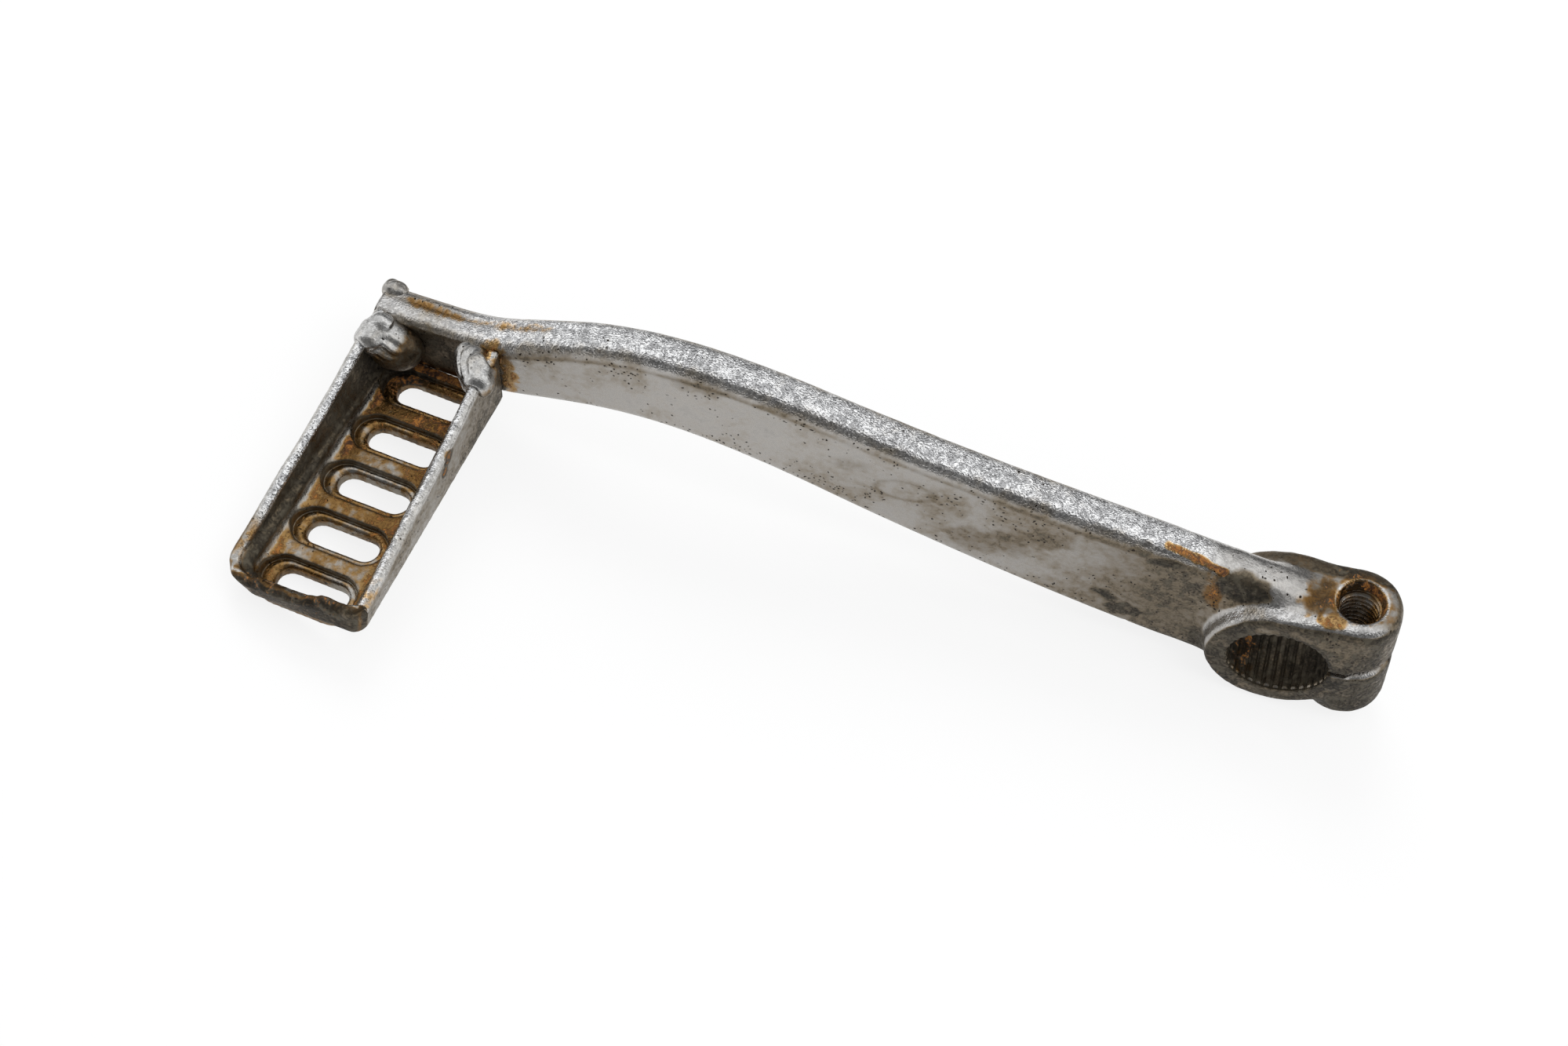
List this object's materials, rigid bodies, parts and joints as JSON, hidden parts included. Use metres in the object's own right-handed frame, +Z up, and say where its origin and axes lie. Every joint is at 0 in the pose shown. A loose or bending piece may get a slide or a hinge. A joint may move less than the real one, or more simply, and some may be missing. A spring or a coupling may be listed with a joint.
{
  "type": "rear brake pedal",
  "caption": "Forged rear brake pedal in worn chrome: serrated split clamp eye, pinch-bolt lugs, curved flat arm and a slotted, flared foot tray welded to its end.",
  "frame": {"origin": "the middle of the clamp eye's bore, on the axis of the brake shaft", "axes": "-Y runs along the brake shaft's axis, the way the shaft leaves the eye, on the tray's side; +X points along the pedal from the foot tray to the clamp eye; +Z is up with the pedal lying on its side, the open face of the tray up"},
  "size_m": [0.2058, 0.067, 0.0358],
  "materials": {
    "forged_chrome": "worn chrome plate over a forging, pitted and stained, rust at the clamp eye",
    "tray_chrome": "worn chrome plate, brown and orange rust in the tray and round the slots",
    "weld_metal": "plated over weld metal, dull, rust at its edges"
  },
  "bodies": {
    "root": {"pedal_arm": "forged_chrome", "foot_pad": "tray_chrome", "weld_outer": "weld_metal", "weld_inner": "weld_metal", "weld_back": "weld_metal"}
  },
  "joints": []
}
